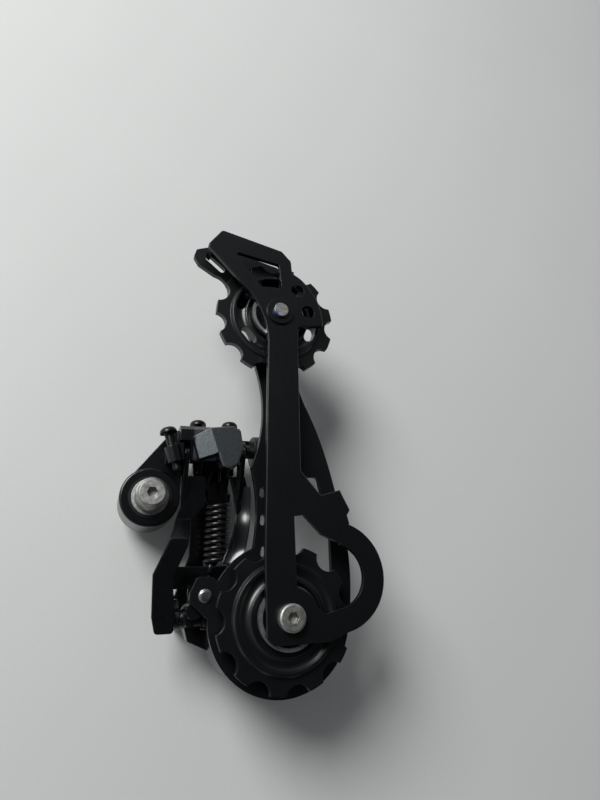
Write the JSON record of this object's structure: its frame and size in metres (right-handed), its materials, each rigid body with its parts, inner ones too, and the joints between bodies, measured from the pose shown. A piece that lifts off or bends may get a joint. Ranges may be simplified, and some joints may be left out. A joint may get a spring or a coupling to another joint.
{
  "type": "rear bicycle derailleur",
  "caption": "Black rear bicycle derailleur with a parallelogram of steel links, a return spring, a long pivoting cage, a chain hook and toothed pulleys.",
  "frame": {"origin": "on the mounting bolt axis, where the bolt shoulder meets the dropout hanger", "axes": "+Z along the mounting bolt, inboard towards the wheel; +X to the rear of the bicycle; +Y up, along the line of the two pulleys at rest"},
  "size_m": [0.0812, 0.154, 0.045],
  "materials": {
    "painted_aluminium": "satin",
    "black_steel": "satin",
    "plated_steel": "satin",
    "spring_steel": "gloss",
    "black_plastic": "satin",
    "bushing_polymer": "matte"
  },
  "bodies": {
    "hanger_bolt": {"mounting_bolt": "plated_steel", "b_washer": "black_steel"},
    "b_knuckle": {"b_knuckle": "painted_aluminium", "b_bushing": "bushing_polymer", "upper_inner_pin": "plated_steel", "upper_outer_pin": "plated_steel"},
    "high_limit_screw": {"high_limit_screw": "black_steel"},
    "low_limit_screw": {"low_limit_screw": "black_steel"},
    "b_tension_screw": {"b_tension_screw": "black_steel"},
    "barrel_adjuster": {"barrel_adjuster": "black_plastic"},
    "outer_link": {"outer_link": "painted_aluminium"},
    "inner_link": {"inner_link": "black_steel", "return_spring": "spring_steel"},
    "p_knuckle": {"p_knuckle": "painted_aluminium", "lower_inner_pin": "plated_steel", "lower_outer_pin": "plated_steel", "p_spring": "spring_steel", "anchor_washer": "plated_steel", "anchor_bolt": "plated_steel"},
    "cage": {"outer_cage_plate": "black_steel", "inner_cage_plate": "black_steel", "p_axle": "plated_steel", "p_axle_screw": "plated_steel", "p_seal": "bushing_polymer", "stop_pin": "plated_steel", "guide_bolt": "plated_steel", "tension_bolt": "plated_steel", "guide_sleeve": "plated_steel", "tension_sleeve": "plated_steel", "guide_caps": "plated_steel", "tension_caps": "plated_steel"},
    "guide_pulley": {"guide_pulley": "black_plastic"},
    "tension_pulley": {"tension_pulley": "black_plastic"}
  },
  "joints": [
    {"name": "hanger_pivot", "type": "hinge", "parent": "hanger_bolt", "child": "b_knuckle", "pos_m": [0, 0, 0], "axis": [0, 0, 1], "range_deg": [-20, 30]},
    {"name": "shift", "type": "hinge", "parent": "b_knuckle", "child": "outer_link", "pos_m": [0, 0.014, -0.011], "axis": [-1, 0, 0], "range_deg": [0, 44], "stiffness_Nm_per_rad": 0.4, "springref_deg": -34.38},
    {"name": "inner_link_pivot", "type": "hinge", "parent": "b_knuckle", "child": "inner_link", "pos_m": [0, 0.014, 0.0015], "axis": [-1, 0, 0], "range_deg": [0, 44], "deforming": ["return_spring"]},
    {"name": "p_knuckle_pivot", "type": "hinge", "parent": "outer_link", "child": "p_knuckle", "pos_m": [0, -0.03801, -0.01647], "axis": [-1, 0, 0], "range_deg": [-44, 0]},
    {"name": "cage_pivot", "type": "hinge", "parent": "p_knuckle", "child": "cage", "pos_m": [0.032, -0.045, 0], "axis": [0, 0, 1], "range_deg": [-170, 0], "stiffness_Nm_per_rad": 0.12, "springref_deg": 85.94},
    {"name": "guide_pulley_spin", "type": "hinge", "parent": "cage", "child": "guide_pulley", "pos_m": [0.04, -0.039, 0.015], "axis": [0, 0, 1], "continuous": true},
    {"name": "tension_pulley_spin", "type": "hinge", "parent": "cage", "child": "tension_pulley", "pos_m": [0.04, 0.062, 0.015], "axis": [0, 0, 1], "continuous": true},
    {"name": "high_limit_travel", "type": "slide", "parent": "b_knuckle", "child": "high_limit_screw", "axis": [0, 1, 0], "range_m": [0, 0.003]},
    {"name": "low_limit_travel", "type": "slide", "parent": "b_knuckle", "child": "low_limit_screw", "axis": [0, 1, 0], "range_m": [0, 0.003]},
    {"name": "b_screw_travel", "type": "slide", "parent": "b_knuckle", "child": "b_tension_screw", "axis": [-0.2572, 0.9664, 0], "range_m": [0, 0.005]},
    {"name": "barrel_travel", "type": "slide", "parent": "b_knuckle", "child": "barrel_adjuster", "axis": [1, 0, 0], "range_m": [0, 0.002]}
  ],
  "couplings": [
    {"joint": "inner_link_pivot", "follows": "shift", "ratio": 1},
    {"joint": "p_knuckle_pivot", "follows": "shift", "ratio": -1}
  ]
}
